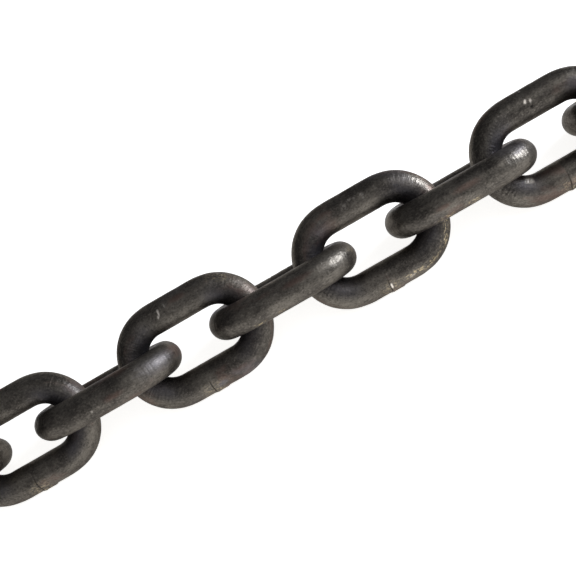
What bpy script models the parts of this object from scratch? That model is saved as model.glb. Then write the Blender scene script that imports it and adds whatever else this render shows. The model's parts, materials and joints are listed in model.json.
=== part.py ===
"""A straight one-metre length of short-link round steel chain, lying on a level floor.

Sixteen equal links of round bar, each bent to an oval and butt-welded at the middle of one leg, hang
in one another. Drawn straight on a floor, the links lie rolled 45 degrees to alternate sides, so
that each one rests on one leg and stands square to its neighbours.

Frame: metres, +Z up, the chain along X, the origin on the floor below the middle of the chain.
"""

from math import cos, pi, radians

import bmesh
import bpy
from mathutils import Matrix, Vector

# Driving dimensions of the chain, in metres
BAR_DIAMETER = 0.0194
LINK_OUTER_WIDTH = 0.0660
LINK_PITCH = 0.0600
LINK_COUNT = 16

# Free play between two crowns that bear on each other
CROWN_PLAY = 0.0003

# The butt weld: a low ridge of upset metal on the outer side of one leg
WELD_RIDGE_HEIGHT = 0.0006
WELD_RIDGE_LENGTH = 0.0110
WELD_CREST_LENGTH = 0.0050

# Every link is rolled this far about the chain's line, the next one a quarter turn further
FIRST_ROLL = radians(45)
QUARTER_TURN = radians(90)

# The bar is drawn with flats, and each crown bends in equal straight steps between mitres
BAR_FLATS = 16
CROWN_STEPS = 11

BAR_RADIUS = BAR_DIAMETER / 2
FLAT_HALF_ANGLE = pi / BAR_FLATS
BAR_CORNER_RADIUS = BAR_RADIUS / cos(FLAT_HALF_ANGLE)

LINK_INNER_LENGTH = LINK_PITCH + CROWN_PLAY
LINK_INNER_WIDTH = LINK_OUTER_WIDTH - 2 * BAR_DIAMETER
CROWN_RADIUS = (LINK_OUTER_WIDTH - BAR_DIAMETER) / 2
CROWN_CENTRE = (LINK_INNER_LENGTH - LINK_INNER_WIDTH) / 2

# Each crown's first and last mitre lie a half step in from its legs, so a half step is this angle
MITRE_HALF_ANGLE = pi / (CROWN_STEPS + 1) / 2
MITRE_STRETCH = 1 / cos(MITRE_HALF_ANGLE)
MITRE_SPAN = CROWN_STEPS * 2 * MITRE_HALF_ANGLE

# A link turns about the bar of the one before it, which passes this far behind its own middle
BAR_CENTRE_HALF_LENGTH = (LINK_INNER_LENGTH + BAR_DIAMETER) / 2
PIVOT_TO_MIDDLE = LINK_PITCH - BAR_CENTRE_HALF_LENGTH

# The middle of every link is this high when its lower leg lies on the floor
AXIS_HEIGHT = CROWN_RADIUS * cos(FIRST_ROLL) + BAR_RADIUS
FIRST_MIDDLE = -(LINK_COUNT - 1) / 2 * LINK_PITCH

EPSILON = 1e-5


def steel_material():
    """Dark, heat-treated steel bar with a thin satin skin of scale and oil."""
    material = bpy.data.materials.new("heat_treated_steel")
    material.use_nodes = True
    shader = material.node_tree.nodes["Principled BSDF"]
    shader.inputs["Base Color"].default_value = (0.048, 0.043, 0.038, 1.0)
    shader.inputs["Metallic"].default_value = 0.75
    shader.inputs["Roughness"].default_value = 0.42
    return material


def add_crown(bm, side):
    """Bend one crown at the link's +X (side 1) or -X (side -1) end and return its two open rims."""
    centre = Vector((side * CROWN_CENTRE, 0, 0))
    lay_flat_on_bar_line = (
        Matrix.Translation(centre)
        @ Matrix.Rotation(-MITRE_SPAN / 2 + (0 if side > 0 else pi), 4, "Z")
        @ Matrix.Translation((CROWN_RADIUS * MITRE_STRETCH, 0, 0))
        @ Matrix.Diagonal((MITRE_STRETCH, 1, 1, 1))
        @ Matrix.Rotation(radians(90), 4, "X")
        @ Matrix.Rotation(FLAT_HALF_ANGLE, 4, "Z")
    )
    section = bmesh.ops.create_circle(
        bm, radius=BAR_CORNER_RADIUS, segments=BAR_FLATS, matrix=lay_flat_on_bar_line
    )["verts"]
    first_rim = [edge for edge in bm.edges if all(vert in section for vert in edge.verts)]
    last = bmesh.ops.spin(
        bm, geom=section + first_rim, cent=centre, axis=(0, 0, 1), angle=MITRE_SPAN, steps=CROWN_STEPS
    )["geom_last"]
    last_rim = [item for item in last if isinstance(item, bmesh.types.BMEdge)]
    return first_rim, last_rim


def raise_weld(bm):
    """Raise the ridge of the butt weld on the outer flat of the -Y leg, its crest at mid-length."""
    for half_length in (WELD_RIDGE_LENGTH / 2, WELD_CREST_LENGTH / 2):
        for end in (half_length, -half_length):
            leg = [
                face for face in bm.faces
                if face.calc_center_median().y < 0
                and min(v.co.x for v in face.verts) < end < max(v.co.x for v in face.verts)
            ]
            around = dict.fromkeys(part for face in leg for part in (*face.verts, *face.edges))
            bmesh.ops.bisect_plane(
                bm, geom=leg + list(around), dist=EPSILON, plane_co=(end, 0, 0), plane_no=(1, 0, 0)
            )
    for vert in bm.verts:
        on_crest = abs(vert.co.x) < WELD_CREST_LENGTH / 2 + EPSILON
        on_outer_flat = vert.co.y < -LINK_OUTER_WIDTH / 2 + EPSILON
        if on_crest and on_outer_flat:
            vert.co.y -= WELD_RIDGE_HEIGHT


def link_mesh():
    """One link in its own plane: X along the chain, Y across the link, its origin on its pivot."""
    bm = bmesh.new()
    right_start, right_end = add_crown(bm, 1)
    left_start, left_end = add_crown(bm, -1)
    bmesh.ops.bridge_loops(bm, edges=right_end + left_start)
    bmesh.ops.bridge_loops(bm, edges=left_end + right_start)
    raise_weld(bm)
    bmesh.ops.translate(bm, verts=bm.verts, vec=(PIVOT_TO_MIDDLE, 0, 0))
    bmesh.ops.recalc_face_normals(bm, faces=bm.faces)
    mesh = bpy.data.meshes.new("chain_link")
    bm.to_mesh(mesh)
    bm.free()
    mesh.shade_smooth()
    mesh.set_sharp_from_angle(angle=radians(40))
    return mesh


def hang_links(mesh):
    """Hang every link in the one before it, each a pitch further along and a quarter turn round."""
    previous = None
    for number in range(1, LINK_COUNT + 1):
        link = bpy.data.objects.new(f"link_{number:02d}", mesh)
        bpy.context.collection.objects.link(link)
        if previous is None:
            link.location = (FIRST_MIDDLE - PIVOT_TO_MIDDLE, 0, AXIS_HEIGHT)
            link.rotation_euler = (FIRST_ROLL, 0, 0)
        else:
            link.parent = previous
            link.location = (LINK_PITCH, 0, 0)
            link.rotation_euler = (QUARTER_TURN if number % 2 == 0 else -QUARTER_TURN, 0, 0)
        previous = link


def main():
    for old in list(bpy.data.objects):
        bpy.data.objects.remove(old)
    mesh = link_mesh()
    mesh.materials.append(steel_material())
    hang_links(mesh)


main()
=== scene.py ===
"""The looks of a one-metre length of short-link round steel chain.

Sixteen links of dark, quenched and tempered chain steel lie straight on a pale floor. Each one is bent
from round bar, flash-butt welded at the middle of its lower leg, trimmed there, and marked by handling.

Frame: metres, +Z up, the chain along X. A link's own frame has X along the chain, Y across the link,
with the weld on its -Y leg, and Z along the link's normal.
"""

import json
import logging
from dataclasses import dataclass, field
from enum import Enum
from math import cos, pi, radians, sin, tau
from random import Random

import bpy
import numpy as np
from mathutils import Matrix, Vector

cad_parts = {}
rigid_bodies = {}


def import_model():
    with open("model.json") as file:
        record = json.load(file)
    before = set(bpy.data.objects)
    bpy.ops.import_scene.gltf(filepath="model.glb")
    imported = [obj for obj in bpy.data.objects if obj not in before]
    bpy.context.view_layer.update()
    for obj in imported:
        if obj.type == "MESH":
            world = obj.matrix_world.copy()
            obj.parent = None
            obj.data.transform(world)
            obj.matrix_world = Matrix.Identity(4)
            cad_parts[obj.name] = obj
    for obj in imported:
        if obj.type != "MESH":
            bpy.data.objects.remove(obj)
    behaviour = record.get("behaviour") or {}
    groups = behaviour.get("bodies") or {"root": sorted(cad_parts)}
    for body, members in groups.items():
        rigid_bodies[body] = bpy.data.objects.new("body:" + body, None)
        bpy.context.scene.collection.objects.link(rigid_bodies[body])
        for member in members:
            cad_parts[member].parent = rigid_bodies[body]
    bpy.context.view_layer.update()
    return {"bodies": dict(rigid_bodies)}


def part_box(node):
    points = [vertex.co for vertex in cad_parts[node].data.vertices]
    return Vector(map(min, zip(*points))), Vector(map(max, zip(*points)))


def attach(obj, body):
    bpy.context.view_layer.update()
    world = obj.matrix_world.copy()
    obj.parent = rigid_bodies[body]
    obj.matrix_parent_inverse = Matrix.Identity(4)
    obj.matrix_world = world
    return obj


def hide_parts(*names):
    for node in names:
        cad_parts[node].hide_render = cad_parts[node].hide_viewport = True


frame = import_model()

MM = 0.001
LOG = logging.getLogger("chain")

Socket = bpy.types.NodeSocket


def srgb(code: str) -> tuple[float, float, float, float]:
    """Turn a six-digit sRGB hex colour into a linear colour.

    Args:
        code: The colour as six hexadecimal digits.

    Returns:
        The linear red, green and blue, and an alpha of one.
    """
    parts = [int(code[start:start + 2], 16) / 255 for start in (0, 2, 4)]
    linear = [part / 12.92 if part <= 0.04045 else ((part + 0.055) / 1.055) ** 2.4 for part in parts]
    return (*linear, 1.0)


def add_node(
    tree: bpy.types.NodeTree, kind: str, inputs: dict[str | int, object] | None = None, **settings: object,
) -> bpy.types.Node:
    """Add one shader node with its settings, its values and its links.

    Args:
        tree: The node tree that gets the node.
        kind: The node's type, without the leading ShaderNode.
        inputs: Input name or number to the value it holds or the output socket it reads.
        settings: Properties of the node itself.

    Returns:
        The new node.
    """
    node = tree.nodes.new("ShaderNode" + kind)
    for name, value in settings.items():
        setattr(node, name, value)
    for name, value in (inputs or {}).items():
        if isinstance(value, Socket):
            tree.links.new(value, node.inputs[name])
        else:
            node.inputs[name].default_value = value
    return node


def smooth_between(low: float, high: float, values: np.ndarray) -> np.ndarray:
    """Rise smoothly from 0 at low to 1 at high, or fall where low is the greater.

    Args:
        low: The value at which the result is 0.
        high: The value at which the result is 1.
        values: The values to weigh.

    Returns:
        Weights from 0 to 1.
    """
    t = np.clip((values - low) / (high - low), 0.0, 1.0)
    return t * t * (3 - 2 * t)


def past_centre(values: np.ndarray, centre: float, period: float) -> np.ndarray:
    """Find how far values lie past a centre, the short way round a loop.

    Args:
        values: The places on the loop.
        centre: The place to measure from.
        period: The loop's length.

    Returns:
        Distances from minus half a period to half a period.
    """
    return (values - centre + period / 2) % period - period / 2


def keep(mesh: bpy.types.Mesh, name: str, values: np.ndarray, domain: str = "POINT") -> None:
    """Keep a number or a vector for each point or face corner as a mesh attribute.

    Args:
        mesh: The mesh that gets the attribute.
        name: The attribute's name.
        values: A number or a row of three for each point or corner.
        domain: What the values belong to, POINT or CORNER.
    """
    kind, key = ("FLOAT_VECTOR", "vector") if values.ndim == 2 else ("FLOAT", "value")
    made = mesh.attributes.get(name) or mesh.attributes.new(name, kind, domain)
    made.data.foreach_set(key, values.astype(np.float32).ravel())


def select_only(piece: bpy.types.Object) -> None:
    """Deselect everything, then select one object and make it active.

    Args:
        piece: The object to select.
    """
    bpy.ops.object.select_all(action="DESELECT")
    piece.select_set(True)
    bpy.context.view_layer.objects.active = piece


class Roll(Enum):
    """The way a link is rolled about the chain's line, in degrees."""

    TOWARDS_VIEWER = 45
    EDGE_ON = 135

    @classmethod
    def of_link(cls, number: int) -> "Roll":
        """Return the roll of a link by its number, the first being 1."""
        return cls.TOWARDS_VIEWER if number % 2 else cls.EDGE_ON


class MarkKind(Enum):
    """What handling, bending or heat left on a link, and a few painted highlights among them."""

    # Also used once for a painted highlight, drawn as a bare-steel spot
    SCRATCH_AND_PAINTED_GLINT = "a bare bright line"
    GOUGE = "a short dent, partly bare"
    # A small dent painted near-black
    PIT = "a small hole full of grime"
    SCUFF = "a bruise of many small nicks"
    # Rubbed specks of worn scale, partly painted highlights: they also stand for glints of light on lower
    # sides and right-hand crowns
    RUBBED_AND_PAINTED_GLINTS = "a band where the scale's high spots are rubbed to gold-grey specks"
    THIN_SCALE = "a matt patch of thin, lighter scale"
    RUST = "a reddish brown film"


@dataclass(frozen=True)
class Mark:
    """One mark, by its place on the straight bar that the link was bent from.

    The place along the bar starts at the middle of the welded leg and runs towards the link's +X crown.
    Round the bar, 0 is the link's outer side and 90 is the side along its normal. A lean of 0 lies along
    the bar and one of 90 across it.
    """

    kind: MarkKind
    along_mm: float
    round_deg: float
    length_mm: float
    width_mm: float
    lean_deg: float = 0.0
    depth_mm: float = 0.0
    strength: float = 1.0

    def nicks(self, luck: Random) -> tuple["Mark", ...]:
        """Break a scuff up into its small nicks.

        Args:
            luck: The seeded source of their places.

        Returns:
            The nicks, each one a gouge.
        """
        square_mm_each = 3.5
        degrees_per_mm = 6.0
        half_turn = self.width_mm / 2 * degrees_per_mm
        return tuple(
            Mark(
                MarkKind.GOUGE,
                self.along_mm + luck.uniform(-0.5, 0.5) * self.length_mm,
                self.round_deg + luck.uniform(-half_turn, half_turn),
                luck.uniform(1.2, 2.8), luck.uniform(0.5, 0.9), luck.uniform(0.0, 180.0),
                luck.uniform(0.5, 1.0) * self.depth_mm, luck.uniform(0.1, 0.4) * self.strength,
            )
            for _ in range(round(self.length_mm * self.width_mm / square_mm_each))
        )


@dataclass(frozen=True)
class Pattern:
    """A noise that follows the bar, by the size of its patches across and how far they stretch along."""

    name: str
    size_mm: float
    stretch: float = 1.0
    detail: float = 4.0
    roughness: float = 0.5


@dataclass(frozen=True)
class Film:
    """One tone of the skin: its colour, the pattern that it follows and where it lies.

    Its share goes from least to most as the pattern's value goes from low to high. A patch adds to it, with
    edges that the mottling frays, up to a cover, and a place limits it. Both name a mesh attribute. A film
    without a pattern has the share of its place.
    """

    name: str
    colour: str
    pattern: str = ""
    low: float = 0.0
    high: float = 1.0
    least: float = 0.0
    most: float = 1.0
    patch: str = ""
    cover: float = 1.0
    place: str = ""


@dataclass(frozen=True)
class Relief:
    """One layer of fine relief: how deep it is and how strongly it shows."""

    depth_mm: float
    strength: float


@dataclass(frozen=True)
class HeatTreatedSteel:
    """Quenched and tempered alloy steel bar under its own thin, oiled scale.

    The bar was rolled, bent hot over a die, flash-butt welded and heat treated, which leaves a skin of dark
    iron oxide. It reads as a satin, near-black metal: neutral grey where the scale is even, lighter where
    handling has thinned it, reddish brown under a film of rust, violet where the inner crowns kept their
    temper colour, and bare and bright where it is nicked. Some of the gold-grey rubbed specks, and one bare
    spot on a crown, are painted highlights.
    """

    scale: str = "46423e"
    edge_tint: str = "b3b1af"
    metallic: float = 0.88
    roughness: float = 0.44
    sheen_change: float = 0.06
    matt_change: float = 0.21
    oil_change: float = -0.09
    struck_change: float = -0.10
    sheen_span: tuple[float, float] = (0.3, 0.7)
    fraying: float = 0.9
    fray_span: tuple[float, float] = (0.50, 1.05)
    pit_spacing_mm: float = 4.2
    pit_span: tuple[float, float] = (0.04, 0.20)
    pits: Relief = Relief(0.035, 0.35)
    die_lines: Relief = Relief(0.36, 1.0)
    grain: Relief = Relief(0.25, 0.8)
    # Grit, specks, grain and die lines are some tenths of a millimetre across on real chain. They are
    # drawn at 1.0 to 1.5 mm, about two pixels of the picture, so that it can show them.
    patterns: tuple[Pattern, ...] = (
        Pattern("clouds", 13.0, 1.3, detail=5.0),
        Pattern("mottle", 2.6, 1.3, detail=5.0, roughness=0.6),
        Pattern("grit", 1.0, 1.2, detail=3.0, roughness=0.6),
        Pattern("rust", 19.0, 2.2, detail=5.0, roughness=0.58),
        Pattern("thin", 30.0, 1.4, detail=3.0),
        Pattern("specks", 1.1, 1.5, detail=3.0, roughness=0.7),
        Pattern("sheen", 5.2, 2.0),
        Pattern("grain", 1.1, 1.3, roughness=0.55),
        Pattern("die_lines", 12.0, 1 / 8, detail=3.0),
    )
    films: tuple[Film, ...] = (
        Film("even scale", "67625b", "clouds", 0.32, 0.68),
        Film("worn mottling", "868077", "mottle", 0.50, 0.74, most=0.35),
        Film("worn grit", "868077", "grit", 0.52, 0.70, most=0.42),
        Film("soot between the grit", "1d1b1a", "grit", 0.48, 0.32, most=0.48),
        Film("rust", "6a554d", "rust", 0.50, 0.68, most=0.6, patch="rusty", cover=0.75),
        Film("thin scale", "6c696d", "thin", 0.55, 0.70, most=0.5, patch="thinned", cover=0.85),
        Film("temper colour", "54535c", "clouds", 0.3, 0.6, least=0.1, most=0.6, place="inner_crown"),
        # Gold-grey rubbed specks, partly painted highlights where the light glints on lower sides and
        # right-hand crowns
        Film("rubbed specks and painted glints", "d2c09c", "specks", 0.50, 0.60, place="rubbed_and_painted_glints"),
        # Grime in the weld's joint, and near-black paint in the pits
        Film("grime in the joint, near-black pits", "1d1b1a", place="joint_grime_and_dark_pits"),
        # Bare steel of scratches and nicks, and one painted highlight on link 11's lower left-hand crown
        Film("bare steel and a painted glint", "e8e0d6", place="struck_and_painted_glint"),
    )

    def material(self) -> bpy.types.Material:
        """Build the node material that every link shares.

        Returns:
            The material, named for the steel.
        """
        # Heat-treated alloy steel in its own scale: to the eye a satin, near-black metal whose highlights
        # are broad and soft, and glossier where it is oily
        made = bpy.data.materials.new("quenched_tempered_steel_scale")
        made.use_nodes = True
        tree = made.node_tree
        shader = tree.nodes["Principled BSDF"]
        rod = add_node(tree, "Attribute", attribute_name="rod").outputs["Vector"]
        places = {
            name: add_node(tree, "Attribute", attribute_name=name).outputs["Fac"]
            for name in ("inner_crown", "bent", "joint_grime_and_dark_pits", "struck_and_painted_glint", "rubbed_and_painted_glints", "thinned", "rusty", "oiled")
        }
        patterns = self.follow_bar(tree, rod)
        shares = {film.name: self.share(tree, film, patterns, places) for film in self.films}
        colour = srgb(self.scale)
        for film in self.films:
            values = {0: shares[film.name], 6: colour, 7: srgb(film.colour)}
            colour = add_node(tree, "Mix", values, data_type="RGBA", label=film.name).outputs[2]
        tree.links.new(colour, shader.inputs["Base Color"])
        rough = self.gloss(tree, patterns["sheen"], shares["thin scale"], places)
        tree.links.new(rough, shader.inputs["Roughness"])
        tree.links.new(self.relief(tree, rod, patterns, places["bent"]), shader.inputs["Normal"])
        shader.inputs["Metallic"].default_value = self.metallic
        shader.inputs["Specular Tint"].default_value = srgb(self.edge_tint)
        return made

    def follow_bar(self, tree: bpy.types.NodeTree, rod: Socket) -> dict[str, Socket]:
        """Lay every pattern along the bar.

        Args:
            tree: The material's node tree.
            rod: The place on the straight bar, in metres.

        Returns:
            Each pattern's value from 0 to 1, by its name.
        """
        values = {}
        for pattern in self.patterns:
            placed = add_node(tree, "Mapping", {"Vector": rod, "Scale": (1 / pattern.stretch, 1.0, 1.0)})
            values[pattern.name] = add_node(tree, "TexNoise", {
                "Vector": placed.outputs[0], "Scale": 1 / (pattern.size_mm * MM),
                "Detail": pattern.detail, "Roughness": pattern.roughness,
            }, label=pattern.name).outputs[0]
        return values

    def share(
        self, tree: bpy.types.NodeTree, film: Film, patterns: dict[str, Socket], places: dict[str, Socket],
    ) -> Socket:
        """Find how much of a film shows.

        Args:
            tree: The material's node tree.
            film: The film.
            patterns: Every pattern's value, by its name.
            places: The mesh attributes, by their names.

        Returns:
            The film's share, from 0 to 1.
        """
        if not film.pattern:
            return places[film.place]
        shown = add_node(tree, "MapRange", {
            "Value": patterns[film.pattern], "From Min": film.low, "From Max": film.high,
            "To Min": film.least, "To Max": film.most,
        }, interpolation_type="SMOOTHSTEP").outputs[0]
        if film.patch:
            values = {0: places[film.patch], 1: shown}
            whole = add_node(tree, "Math", values, operation="MAXIMUM").outputs[0]
            values = {0: patterns["mottle"], 1: self.fraying, 2: whole}
            frayed = add_node(tree, "Math", values, operation="MULTIPLY_ADD").outputs[0]
            low, high = self.fray_span
            edge = add_node(tree, "MapRange", {
                "Value": frayed, "From Min": low, "From Max": high, "To Max": film.cover,
            }, interpolation_type="SMOOTHSTEP").outputs[0]
            shown = add_node(tree, "Math", {0: whole, 1: edge}, operation="MULTIPLY").outputs[0]
        if film.place:
            values = {0: places[film.place], 1: shown}
            shown = add_node(tree, "Math", values, operation="MULTIPLY").outputs[0]
        return shown

    def gloss(
        self, tree: bpy.types.NodeTree, sheen: Socket, matt: Socket, places: dict[str, Socket],
    ) -> Socket:
        """Vary the roughness: matt on thin scale, glossier where struck and where oily.

        Args:
            tree: The material's node tree.
            sheen: The pattern of the sheen.
            matt: The share of matt, thin scale.
            places: The mesh attributes, by their names.

        Returns:
            The roughness.
        """
        low, high = self.sheen_span
        rough = add_node(tree, "MapRange", {
            "Value": sheen, "From Min": low, "From Max": high,
            "To Min": self.roughness - self.sheen_change, "To Max": self.roughness + self.sheen_change,
        }, interpolation_type="SMOOTHSTEP").outputs[0]
        changes = (
            (matt, self.matt_change),
            (places["oiled"], self.oil_change),
            (places["struck_and_painted_glint"], self.struck_change),
        )
        for place, change in changes:
            values = {0: place, 1: change, 2: rough}
            rough = add_node(tree, "Math", values, operation="MULTIPLY_ADD").outputs[0]
        return rough

    def relief(
        self, tree: bpy.types.NodeTree, rod: Socket, patterns: dict[str, Socket], bent: Socket,
    ) -> Socket:
        """Roughen the surface with a few pits, the die lines across each crown and fine grain.

        Args:
            tree: The material's node tree.
            rod: The place on the straight bar, in metres.
            patterns: Every pattern's value, by its name.
            bent: The share of crown, where the die left its lines.

        Returns:
            The roughened normal.
        """
        spots = add_node(tree, "TexVoronoi", {"Vector": rod, "Scale": 1 / (self.pit_spacing_mm * MM)})
        low, high = self.pit_span
        holes = add_node(tree, "MapRange", {
            "Value": spots.outputs["Distance"], "From Min": low, "From Max": high,
        }, interpolation_type="SMOOTHSTEP").outputs[0]
        values = {0: patterns["die_lines"], 1: bent}
        lines = add_node(tree, "Math", values, operation="MULTIPLY").outputs[0]
        normal = None
        layers = ((holes, self.pits), (lines, self.die_lines), (patterns["grain"], self.grain))
        for height, layer in layers:
            values = {"Height": height, "Distance": layer.depth_mm * MM, "Strength": layer.strength}
            if normal is not None:
                values["Normal"] = normal
            normal = add_node(tree, "Bump", values).outputs[0]
        return normal


@dataclass(frozen=True)
class PaleFloor:
    """Opal acrylic sheet of a light table, lit faintly from below, so it shows as an even pale ground."""

    colour: str = "f3f2f0"
    mottle: str = "f6f5f4"
    mottle_size: float = 0.33
    glow: float = 0.95
    roughness: float = 0.85

    def material(self) -> bpy.types.Material:
        """Build the sheet's material, with a faint mottling.

        Returns:
            The material, named for the sheet.
        """
        # Opal acrylic: a matt white plastic, lit from below, that shows the eye no texture and no end
        made = bpy.data.materials.new("opal_acrylic_light_table")
        made.use_nodes = True
        tree = made.node_tree
        shader = tree.nodes["Principled BSDF"]
        place = add_node(tree, "TexCoord").outputs["Object"]
        mottle = add_node(tree, "TexNoise", {"Vector": place, "Scale": 1 / self.mottle_size}).outputs[0]
        tones = {0: mottle, 6: srgb(self.colour), 7: srgb(self.mottle)}
        tone = add_node(tree, "Mix", tones, data_type="RGBA").outputs[2]
        tree.links.new(tone, shader.inputs["Base Color"])
        shader.inputs["Roughness"].default_value = self.roughness
        shader.inputs["Emission Color"].default_value = srgb(self.colour)
        shader.inputs["Emission Strength"].default_value = self.glow
        return made


@dataclass(frozen=True)
class Shaping:
    """One way in which a link's skin differs from plain round bar.

    One with a patch size dents the whole link in patches of that size. Any other keeps to the vertex group
    of its name. Chance leaves from least to all of its height on each link.
    """

    name: str
    height_mm: float
    least: float = 1.0
    patch_mm: float = 0.0
    octaves: int = 2


@dataclass(frozen=True)
class BarSkin:
    """Where each point of the blank lies, and where it lay on the straight bar before it was bent.

    The points are in the link's own frame. Along is the distance along the bar from the middle of the -Y
    leg, outwards that from the bar's centre line in the link's plane, and through that from the plane.
    """

    points: np.ndarray
    along: np.ndarray
    outwards: np.ndarray
    through: np.ndarray

    @property
    def facing(self) -> np.ndarray:
        """How far each point faces outwards, from -1 inside the link to 1 on its outer side."""
        return self.outwards / np.hypot(self.outwards, self.through)

    @property
    def on_weld_leg(self) -> np.ndarray:
        """Which points are on the welded half of the link."""
        return self.points[:, 1] < 0


@dataclass
class ChainLink:
    """One link, bent once as a blank and copied, welded, roughened and marked for each place."""

    outer_length: float
    bar_diameter: float = 19.4 * MM
    outer_width: float = 66.0 * MM
    # The bar is drawn slightly oval, so that its dents and its weld stay inside the solid's outline
    leg_in_plane: float = 19.44 * MM
    leg_through: float = 19.24 * MM
    bar_sides: int = 96
    crown_steps: int = 80
    leg_steps: int = 54
    collar_half_length: float = 4.2 * MM
    joint_place: float = -3.7 * MM
    # Rings about the joint, whose groove and burr need fine faces
    joint_cuts_mm: tuple[float, ...] = (-1.6, -1.1, -0.75, -0.5, -0.25, 0.0, 0.25, 0.5, 0.75, 1.1, 1.6)
    burr_past_joint: float = 0.8 * MM
    weld_rub: float = 0.3
    grime_share: float = 0.85
    # The share of a dent texture's height that lies below the plain bar's surface
    dent_level: float = 0.95
    shapings: tuple[Shaping, ...] = (
        Shaping("collar", 0.58, least=0.7),
        Shaping("flash_burr", 0.16, least=0.5),
        Shaping("joint_line", -0.30, least=0.6),
        Shaping("crown_back", -0.40),
        Shaping("crown_seat", 0.15),
        Shaping("leg_back", 0.30),
        Shaping("bar_sway", 0.20, patch_mm=26.0),
        Shaping("roll_dents", 0.16, patch_mm=6.0),
        Shaping("scale_grain", 0.08, patch_mm=1.9, octaves=3),
    )
    steel: bpy.types.Material | None = None
    blank: bpy.types.Object | None = field(default=None, repr=False)
    skin: BarSkin | None = field(default=None, repr=False)

    @property
    def crown_radius(self) -> float:
        """The radius of the bar's centre line round a crown."""
        return (self.outer_width - self.bar_diameter) / 2

    @property
    def crown_centre(self) -> float:
        """How far each crown's centre lies from the link's middle."""
        return (self.outer_length - self.outer_width) / 2

    @property
    def bar_length(self) -> float:
        """The length of bar in one link, along its centre line."""
        return 4 * self.crown_centre + tau * self.crown_radius

    def leg_slices(self, welded: bool) -> list[float]:
        """Return the lengths of a leg's slices in the order of X, finer about the weld's joint.

        Args:
            welded: Whether the leg has the weld.

        Returns:
            The length of each slice.
        """
        cuts = np.linspace(-self.crown_centre, self.crown_centre, self.leg_steps + 1)
        if welded:
            fine = self.joint_place + np.array(self.joint_cuts_mm) * MM
            gap = 0.3 * MM
            clear = np.abs(cuts - self.joint_place) > fine[-1] - self.joint_place + gap
            cuts = np.sort(np.concatenate([cuts[clear], fine]))
        return np.diff(cuts).tolist()

    def bend_blank(self) -> None:
        """Bend the bar round two crowns: draw its section, spin it, run a leg out, and once more."""
        bpy.ops.object.select_all(action="DESELECT")
        bpy.ops.mesh.primitive_circle_add(
            vertices=self.bar_sides, radius=0.5, location=(self.crown_centre, -self.crown_radius, 0),
            rotation=(0, pi / 2, 0),
        )
        self.blank = bpy.context.active_object
        self.blank.name = "link_blank"
        self.blank.scale = (self.leg_through, self.leg_in_plane, 1.0)
        bpy.ops.object.transform_apply(location=True, rotation=True, scale=True)
        bpy.ops.object.mode_set(mode="EDIT")
        bpy.ops.mesh.select_all(action="SELECT")
        for side in (1, -1):
            bpy.ops.mesh.spin(
                steps=self.crown_steps, angle=-pi, center=(side * self.crown_centre, 0, 0), axis=(0, 0, 1)
            )
            for length in self.leg_slices(welded=side < 0):
                bpy.ops.mesh.extrude_region_move(TRANSFORM_OT_translate={"value": (-side * length, 0, 0)})
        bpy.ops.mesh.select_all(action="SELECT")
        bpy.ops.mesh.remove_doubles(threshold=0.01 * MM)
        bpy.ops.mesh.normals_make_consistent(inside=False)
        bpy.ops.object.mode_set(mode="OBJECT")
        bpy.ops.object.shade_smooth()

    def measure_skin(self) -> None:
        """Find where each point of the blank lay in the straight bar before it was bent."""
        flat = np.empty(len(self.blank.data.vertices) * 3, dtype=np.float32)
        self.blank.data.vertices.foreach_get("co", flat)
        points = flat.reshape(-1, 3).astype(float)
        x, y, z = points.T
        centre, radius = self.crown_centre, self.crown_radius
        past = np.where(x > centre, x - centre, np.where(x < -centre, x + centre, 0.0))
        turn = np.arctan2(y * np.sign(past), np.abs(past))
        outwards = np.where(past != 0.0, np.hypot(past, y), np.abs(y)) - radius
        quarter = pi / 2 * radius
        along = np.where(y < 0, x, 2 * centre + 2 * quarter - x)
        along = np.where(x > centre, centre + (turn + pi / 2) * radius, along)
        along = np.where(x < -centre, 3 * centre + 2 * quarter + (turn + pi / 2) * radius, along)
        self.skin = BarSkin(points, along, outwards, z)

    def write_places(self) -> None:
        """Keep on the blank each face corner's place on the straight bar, cut at the weld's joint."""
        mesh = self.blank.data
        corners = np.empty(len(mesh.loops), dtype=np.int32)
        mesh.loops.foreach_get("vertex_index", corners)
        middles = np.empty(len(mesh.polygons) * 3, dtype=np.float32)
        mesh.polygons.foreach_get("center", middles)
        middles = middles.reshape(-1, 3)
        lasts = (middles[:, 1] < 0) & (middles[:, 0] < self.joint_place)
        sides = np.empty(len(mesh.polygons), dtype=np.int32)
        mesh.polygons.foreach_get("loop_total", sides)
        before_joint = np.repeat(lasts, sides)
        place = np.stack([self.skin.along, self.skin.outwards, self.skin.through], axis=1)[corners]
        wrapped = before_joint & (place[:, 0] < self.bar_length / 2)
        place[wrapped, 0] += self.bar_length
        keep(mesh, "rod", place, "CORNER")

    def write_wear(self) -> None:
        """Keep on the blank how near each point is to an inner crown and to a bend."""
        mesh, skin = self.blank.data, self.skin
        past_leg = np.abs(skin.points[:, 0]) - self.crown_centre
        inner = smooth_between(0.55, -0.45, skin.facing)
        keep(mesh, "inner_crown", smooth_between(-4 * MM, 12 * MM, past_leg) * inner)
        keep(mesh, "bent", smooth_between(0.0, 8 * MM, past_leg) * smooth_between(-0.7, 0.0, skin.facing))

    def weigh(self, piece: bpy.types.Object, name: str, weights: np.ndarray) -> None:
        """Paint a vertex group: every point with a weight that moves it at all.

        Args:
            piece: The object that gets the group.
            name: The group's name.
            weights: A weight for each point.
        """
        least = 0.002
        group = piece.vertex_groups.new(name=name)
        for index in np.flatnonzero(weights > least):
            group.add([int(index)], float(weights[index]), "REPLACE")

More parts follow.
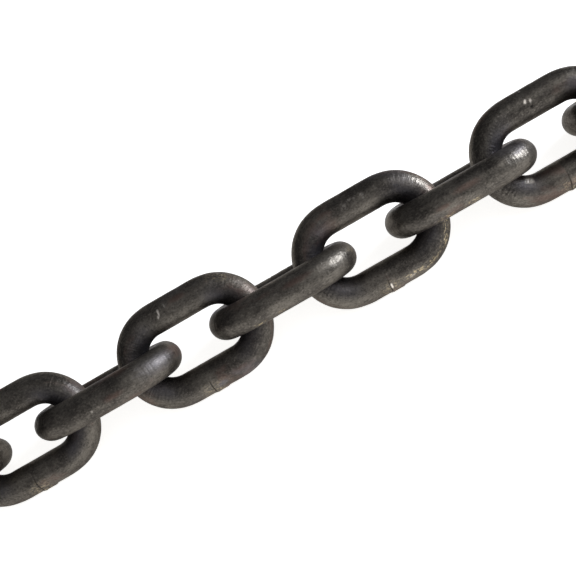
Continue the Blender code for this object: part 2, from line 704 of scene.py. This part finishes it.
    def paint_shapes(self) -> None:
        """Paint the blank's weld, leg backs, crown backs and crown seats for the shapings."""
        skin = self.skin
        from_middle = np.abs(skin.points[:, 0])
        past_joint = skin.points[:, 0] - self.joint_place
        outer_edge = smooth_between(cos(radians(38)), cos(radians(10)), skin.facing)
        ends = self.collar_half_length + 0.9 * MM, self.collar_half_length - 0.5 * MM
        self.weigh(self.blank, "collar", skin.on_weld_leg * outer_edge * smooth_between(*ends, from_middle))
        half_round = skin.on_weld_leg * smooth_between(-0.35, 0.25, skin.facing)
        line = smooth_between(0.55 * MM, 0.05 * MM, np.abs(past_joint))
        self.weigh(self.blank, "joint_line", half_round * line)
        crest = smooth_between(0.75 * MM, 0.1 * MM, np.abs(past_joint - self.burr_past_joint))
        self.weigh(self.blank, "flash_burr", half_round * crest)
        legs = smooth_between(self.crown_centre + 6 * MM, self.crown_centre - 4 * MM, from_middle)
        back = smooth_between(cos(radians(34)), cos(radians(8)), skin.facing)
        self.weigh(self.blank, "leg_back", legs * back)
        crown_turn = np.abs(np.arctan2(skin.points[:, 1], from_middle - self.crown_centre))
        on_crown = smooth_between(radians(62), radians(8), crown_turn) * (from_middle > self.crown_centre)
        self.weigh(self.blank, "crown_back", on_crown * smooth_between(0.1, 0.95, skin.facing))
        self.weigh(self.blank, "crown_seat", on_crown * smooth_between(-0.3, -0.95, skin.facing))

    def hang(self, number: int, middle: Vector, roll: Roll) -> bpy.types.Object:
        """Copy the blank to one link's place.

        Args:
            number: The link's number along the chain.
            middle: The link's middle.
            roll: The way it is rolled about the chain's line.

        Returns:
            The link, with its place in its mesh and its own stretch of the bar's pattern.
        """
        piece = bpy.data.objects.new(f"steel_link_{number:02d}", self.blank.data.copy())
        bpy.context.collection.objects.link(piece)
        for group in self.blank.vertex_groups:
            if group.name not in piece.vertex_groups:
                piece.vertex_groups.new(name=group.name)
        piece.location = middle
        piece.rotation_euler = (radians(roll.value), 0, 0)
        select_only(piece)
        bpy.ops.object.transform_apply(location=True, rotation=True, scale=True)
        rod = piece.data.attributes["rod"]
        place = np.empty(len(rod.data) * 3, dtype=np.float32)
        rod.data.foreach_get("vector", place)
        place = place.reshape(-1, 3)
        place[:, 0] += number * self.bar_length
        rod.data.foreach_set("vector", place.ravel())
        return piece

    def displace(
        self, piece: bpy.types.Object, height: float, group: str = "",
        texture: bpy.types.Texture | None = None,
    ) -> None:
        """Push a piece's surface in or out and apply it.

        Args:
            piece: The object to shape.
            height: How far to push outwards, in metres.
            group: The vertex group that limits it, if any.
            texture: The texture that varies it, if any, nearly all of it inwards.
        """
        push = piece.modifiers.new("push", "DISPLACE")
        push.strength = height
        push.mid_level = 0.0
        push.vertex_group = group
        if texture is not None:
            push.texture = texture
            push.texture_coords = "LOCAL"
            push.mid_level = self.dent_level
        select_only(piece)
        bpy.ops.object.modifier_apply(modifier=push.name)

    def dent_texture(self, shaping: Shaping) -> bpy.types.Texture:
        """Find or make the cloud texture of a shaping's dents.

        Args:
            shaping: The shaping, with its patch size.

        Returns:
            The texture, which all links share.
        """
        texture = bpy.data.textures.get(shaping.name)
        if texture is None:
            texture = bpy.data.textures.new(shaping.name, "CLOUDS")
            texture.noise_scale = shaping.patch_mm * MM
            texture.noise_depth = shaping.octaves
        return texture

    def finish_shape(
        self, piece: bpy.types.Object, marks: tuple[Mark, ...], oil: float, luck: Random,
    ) -> None:
        """Raise the weld, set the crowns, roughen the forging, strike the marks and oil the link.

        Args:
            piece: The link.
            marks: Its known marks, besides those that come by chance.
            oil: How oily it is, from 0 to 1.
            luck: The seeded source of the small differences between links.
        """
        for shaping in self.shapings:
            if shaping.patch_mm:
                self.displace(piece, shaping.height_mm * MM, texture=self.dent_texture(shaping))
            else:
                left = luck.uniform(shaping.least, 1.0) if shaping.least < 1.0 else 1.0
                self.displace(piece, shaping.height_mm * MM * left, shaping.name)
        self.strike(piece, marks + self.chance_marks(luck), luck)
        keep(piece.data, "oiled", np.full(len(piece.data.vertices), oil))
        for group in list(piece.vertex_groups):
            piece.vertex_groups.remove(group)
        piece.data.materials.clear()
        piece.data.materials.append(self.steel)

    def chance_marks(self, luck: Random) -> tuple[Mark, ...]:
        """Draw the faint marks that every link picks up, anywhere on it.

        Args:
            luck: The seeded source of the marks.

        Returns:
            A few scratches, a nick and a patch of rust.
        """
        whole = self.bar_length / MM
        scratches = [
            Mark(
                MarkKind.SCRATCH_AND_PAINTED_GLINT, luck.uniform(0.0, whole), luck.uniform(0.0, 360.0), luck.uniform(2.0, 6.0),
                luck.uniform(0.45, 0.7), luck.uniform(0.0, 180.0), 0.04, luck.uniform(0.15, 0.45),
            )
            for _ in range(luck.randint(3, 6))
        ]
        nick = Mark(
            MarkKind.GOUGE, luck.uniform(0.0, whole), luck.uniform(-90.0, 90.0), luck.uniform(1.2, 2.5),
            luck.uniform(0.7, 1.1), luck.uniform(0.0, 180.0), luck.uniform(0.08, 0.15),
            luck.uniform(0.2, 0.5),
        )
        rust = Mark(
            MarkKind.RUST, luck.uniform(0.0, whole), luck.uniform(0.0, 360.0), luck.uniform(12.0, 30.0),
            luck.uniform(5.0, 12.0), luck.uniform(-15.0, 15.0), 0.0, luck.uniform(0.4, 0.9),
        )
        return (*scratches, nick, rust)

    def nearness(self, mark: Mark) -> np.ndarray:
        """Weigh how much of a mark reaches each point of the bar's unrolled skin.

        Args:
            mark: The mark.

        Returns:
            A weight for each point, from 0 to 1.
        """
        lean = radians(mark.lean_deg)
        radius = self.bar_diameter / 2
        girth = np.arctan2(self.skin.through, self.skin.outwards) * radius
        down = past_centre(self.skin.along, mark.along_mm * MM, self.bar_length)
        across = past_centre(girth, radians(mark.round_deg) * radius, tau * radius)
        on_line = np.abs(down * cos(lean) + across * sin(lean))
        off_line = np.abs(across * cos(lean) - down * sin(lean))
        sharp = mark.kind in (MarkKind.SCRATCH_AND_PAINTED_GLINT, MarkKind.GOUGE, MarkKind.PIT)
        taper, edge, reach = (0.4, 0.15, 1.0) if sharp else (0.1, 0.0, 0.5)
        half_length, width = mark.length_mm * MM / 2, mark.width_mm * MM * reach
        lengthwise = smooth_between(half_length, half_length * taper, on_line)
        return lengthwise * smooth_between(width, width * edge, off_line)

    def strike(self, piece: bpy.types.Object, marks: tuple[Mark, ...], luck: Random) -> None:
        """Cut the marks into one link and keep how bare, grimy, rubbed, thin-scaled and rusty it is.

        The joint is grimy and the pits are painted near-black. Some of the bare and rubbed marks are painted
        highlights.

        Args:
            piece: The link.
            marks: Its marks of handling.
            luck: The seeded source of the nicks in a scuff.
        """
        skin = self.skin
        broken_up = [
            part for mark in marks
            for part in (mark.nicks(luck) if mark.kind is MarkKind.SCUFF else (mark,))
        ]
        shares = {kind: np.zeros(len(skin.along)) for kind in MarkKind}
        dent = np.zeros(len(skin.along))
        for mark in broken_up:
            near = self.nearness(mark)
            shares[mark.kind] = np.maximum(shares[mark.kind], near * mark.strength)
            dent = np.maximum(dent, near * mark.depth_mm)
        from_joint = np.abs(skin.points[:, 0] - self.joint_place)
        weld = smooth_between(9 * MM, 3 * MM, from_joint) * skin.on_weld_leg
        weld_edge = self.weld_rub * weld * smooth_between(-0.1, 0.85, skin.facing)
        groove = smooth_between(0.5 * MM, 0.1 * MM, from_joint) * skin.on_weld_leg
        joint_grime = self.grime_share * groove * smooth_between(-0.1, 0.5, skin.facing)
        # Grime in the weld's joint, and the pits painted near-black
        keep(piece.data, "joint_grime_and_dark_pits", np.maximum(shares[MarkKind.PIT], joint_grime))
        # Scratches and nicks, and one painted highlight drawn as a scratch
        keep(piece.data, "struck_and_painted_glint", np.maximum(shares[MarkKind.SCRATCH_AND_PAINTED_GLINT], shares[MarkKind.GOUGE]))
        # Rubbed specks, partly painted highlights, and the rub on the weld's outer side
        keep(piece.data, "rubbed_and_painted_glints", np.maximum(shares[MarkKind.RUBBED_AND_PAINTED_GLINTS], weld_edge))
        keep(piece.data, "thinned", shares[MarkKind.THIN_SCALE])
        keep(piece.data, "rusty", shares[MarkKind.RUST])
        if dent.any():
            self.weigh(piece, "dent", dent / dent.max())
            self.displace(piece, -float(dent.max()) * MM, "dent")


@dataclass
class Chain:
    """The whole length: its links, where each one hangs, and the marks that each one carries."""

    link: ChainLink
    steel: HeatTreatedSteel = field(default_factory=HeatTreatedSteel)
    marks: dict[int, tuple[Mark, ...]] = field(default_factory=dict)
    oil: dict[int, float] = field(default_factory=dict)

    def middle(self, body: str) -> Vector:
        """Return the middle of a link's solid in the frame."""
        low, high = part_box(body)
        return (low + high) / 2

    def build(self) -> None:
        """Bend the blank, hang a link in each place and dress it."""
        self.link.steel = self.steel.material()
        self.link.bend_blank()
        self.link.measure_skin()
        self.link.write_places()
        self.link.write_wear()
        self.link.paint_shapes()
        for number, body in enumerate(sorted(frame["bodies"]), start=1):
            piece = self.link.hang(number, self.middle(body), Roll.of_link(number))
            luck = Random(number)
            oil = self.oil.get(number, luck.uniform(0.2, 0.8))
            self.link.finish_shape(piece, self.marks.get(number, ()), oil, luck)
            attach(piece, body)
            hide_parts(body)
            LOG.info("%s: %d points on body %s", piece.name, len(piece.data.vertices), body)
        bpy.data.objects.remove(self.link.blank)


@dataclass(frozen=True)
class SoftBox:
    """One soft studio light: where it hangs from the watched point, its size, power and colour."""

    name: str
    offset: tuple[float, float, float]
    size: tuple[float, float]
    watts: float
    colour: str


@dataclass
class Studio:
    """A pale light table, soft light from the chain's +X end, a dim room and the camera."""

    watched: Vector
    elevation_deg: float = 49.19
    turn_deg: float = 3.66
    chain_slope_deg: float = 32.63
    distance: float = 0.5334
    lens_mm: float = 56.26
    floor_size: float = 30.0
    room_colour: str = "b9bbc0"
    room_strength: float = 0.28
    lights: tuple[SoftBox, ...] = (
        SoftBox("low_key", (1.40, 0.12, 0.40), (0.70, 0.56), 26.0, "eef4fd"),
        SoftBox("high_side", (1.05, -0.35, 1.45), (1.4, 1.0), 5.0, "ffffff"),
        SoftBox("overhead", (-0.20, -0.75, 1.25), (2.6, 1.6), 3.0, "ffffff"),
        SoftBox("front_card", (0.25, -1.60, 0.36), (2.6, 0.8), 5.0, "ffffff"),
    )

    def lay_floor(self) -> None:
        """Lay the light table that the chain rests on."""
        bpy.ops.object.select_all(action="DESELECT")
        bpy.ops.mesh.primitive_plane_add(size=self.floor_size, location=(0, 0, 0))
        floor = bpy.context.active_object
        floor.name = "studio_floor"
        floor.data.materials.append(PaleFloor().material())

    def hang_light(self, box: SoftBox) -> None:
        """Hang one soft box that faces the watched point.

        Args:
            box: The light to hang.
        """
        data = bpy.data.lights.new(box.name, "AREA")
        data.shape = "RECTANGLE"
        data.size, data.size_y = box.size
        data.energy = box.watts
        data.color = srgb(box.colour)[:3]
        light = bpy.data.objects.new(box.name, data)
        light.location = self.watched + Vector(box.offset)
        light.rotation_euler = (-Vector(box.offset)).to_track_quat("-Z", "Y").to_euler()
        bpy.context.collection.objects.link(light)

    def light_room(self) -> None:
        """Give the room its dim, even light."""
        world = bpy.context.scene.world or bpy.data.worlds.new("studio_room")
        bpy.context.scene.world = world
        world.use_nodes = True
        background = world.node_tree.nodes["Background"]
        background.inputs["Color"].default_value = srgb(self.room_colour)
        background.inputs["Strength"].default_value = self.room_strength

    def place_camera(self) -> None:
        """Look down on the chain almost square to its line, turned so that it climbs to the right."""
        height = radians(self.elevation_deg)
        turn = radians(self.turn_deg)
        slope = radians(self.chain_slope_deg)
        back = Vector((sin(turn) * cos(height), -cos(turn) * cos(height), sin(height)))
        along = Vector((cos(turn), sin(turn), 0))
        up = back.cross(along)
        right_edge = along * cos(slope) - up * sin(slope)
        top_edge = along * sin(slope) + up * cos(slope)
        data = bpy.data.cameras.new("camera")
        data.lens = self.lens_mm
        data.clip_start = 0.01
        camera = bpy.data.objects.new("camera", data)
        turned = Matrix((right_edge, top_edge, back)).transposed()
        camera.matrix_world = Matrix.Translation(self.watched + back * self.distance) @ turned.to_4x4()
        bpy.context.collection.objects.link(camera)
        bpy.context.scene.camera = camera

    def build(self) -> None:
        """Lay the floor, hang the lights and place the camera."""
        self.lay_floor()
        for box in self.lights:
            self.hang_light(box)
        self.light_room()
        self.place_camera()
        bpy.context.scene.view_settings.view_transform = "Standard"


# The links by the middle of the chain, as handling and bending left them. Some of their rubbed specks and
# one bare spot on link 11 are painted highlights, and a pit on link 11 is painted near-black.
MARKS = {
    6: (
        Mark(MarkKind.THIN_SCALE, 72.0, -14.0, 42.0, 25.0, strength=0.6),
        Mark(MarkKind.RUST, 97.0, 10.0, 22.0, 8.0, strength=0.7),
        Mark(MarkKind.GOUGE, 112.0, 20.0, 1.6, 0.8, 90.0, 0.08, 0.3),
    ),
    7: (
        Mark(MarkKind.SCRATCH_AND_PAINTED_GLINT, 115.4, 76.0, 5.4, 0.75, 84.0, 0.14, 0.9),
        Mark(MarkKind.GOUGE, 116.6, 90.0, 2.2, 0.8, 60.0, 0.14, 0.8),
        Mark(MarkKind.SCRATCH_AND_PAINTED_GLINT, 110.6, 62.0, 4.0, 0.7, 100.0, 0.06, 0.3),
        Mark(MarkKind.THIN_SCALE, 2.5, 50.0, 13.0, 9.0, strength=0.7),
        Mark(MarkKind.RUST, 102.0, 60.0, 20.0, 8.0, strength=0.8),
        # Rubbed specks on the upper right-hand crown, partly a painted highlight
        Mark(MarkKind.RUBBED_AND_PAINTED_GLINTS, 78.0, 40.0, 16.0, 9.0, strength=0.5),
    ),
    8: (
        # Rubbed specks on the front leg's lower side, by the left-hand crown and on the right-hand crown,
        # partly painted highlights
        Mark(MarkKind.RUBBED_AND_PAINTED_GLINTS, 110.4, 56.0, 8.0, 5.0, strength=0.7),
        Mark(MarkKind.RUBBED_AND_PAINTED_GLINTS, 125.0, 58.0, 10.0, 5.0, strength=0.7),
        Mark(MarkKind.RUST, 96.0, -22.0, 30.0, 8.0, strength=0.8),
        Mark(MarkKind.RUBBED_AND_PAINTED_GLINTS, 62.0, -12.0, 12.0, 9.0, strength=0.25),
    ),
    9: (
        Mark(MarkKind.SCUFF, 105.5, 76.0, 15.0, 4.0, depth_mm=0.16, strength=0.6),
        Mark(MarkKind.RUST, 122.0, 40.0, 14.0, 7.0, strength=0.5),
        Mark(MarkKind.SCRATCH_AND_PAINTED_GLINT, -2.9, 52.0, 5.0, 0.9, 90.0, 0.05, 1.0),
        # Rubbed specks along the lower leg and the lower right-hand crown, partly painted highlights
        Mark(MarkKind.RUBBED_AND_PAINTED_GLINTS, 14.0, 52.0, 36.0, 6.0, strength=0.9),
        Mark(MarkKind.RUBBED_AND_PAINTED_GLINTS, 38.0, 50.0, 26.0, 8.0, strength=0.8),
    ),
    10: (
        # Rubbed specks on the front leg's lower side and by the left-hand crown, partly painted highlights
        Mark(MarkKind.RUBBED_AND_PAINTED_GLINTS, 124.0, 58.0, 12.0, 6.0, strength=0.8),
        Mark(MarkKind.RUBBED_AND_PAINTED_GLINTS, 108.0, 56.0, 15.0, 7.0, strength=0.8),
        Mark(MarkKind.RUST, 108.0, -12.0, 30.0, 8.0, strength=0.8),
        Mark(MarkKind.RUST, 124.0, 12.0, 14.0, 6.0, strength=0.7),
    ),
    11: (
        Mark(MarkKind.GOUGE, 111.4, 77.0, 3.4, 1.1, 60.0, 0.16, 0.9),
        Mark(MarkKind.GOUGE, 108.6, 84.0, 3.0, 0.9, 75.0, 0.12, 0.7),
        # A small dent painted near-black
        Mark(MarkKind.PIT, 109.2, 103.0, 2.6, 1.5, 20.0, 0.25, 0.95),
        # A painted highlight: a bare-steel spot where the light glints on the inner side of the lower
        # left-hand crown
        Mark(MarkKind.SCRATCH_AND_PAINTED_GLINT, 185.6, 131.0, 9.0, 3.0, strength=0.8),
    ),
}

# How oily the links by the middle of the chain are
OIL = {4: 0.2, 5: 0.1, 6: 0.1, 7: 0.2, 8: 0.4, 9: 0.8, 10: 1.0, 11: 0.9, 12: 0.6}


def main() -> None:
    """Build the chain and the studio."""
    logging.basicConfig(level=logging.INFO, format="%(message)s")
    low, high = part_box("link_01")
    chain = Chain(ChainLink(outer_length=high.x - low.x), marks=MARKS, oil=OIL)
    chain.build()
    past_middle = Vector((3.5, -0.2, -0.2)) * MM
    studio = Studio(watched=chain.middle("link_08") + past_middle)
    studio.build()


if __name__ == "__main__":
    main()
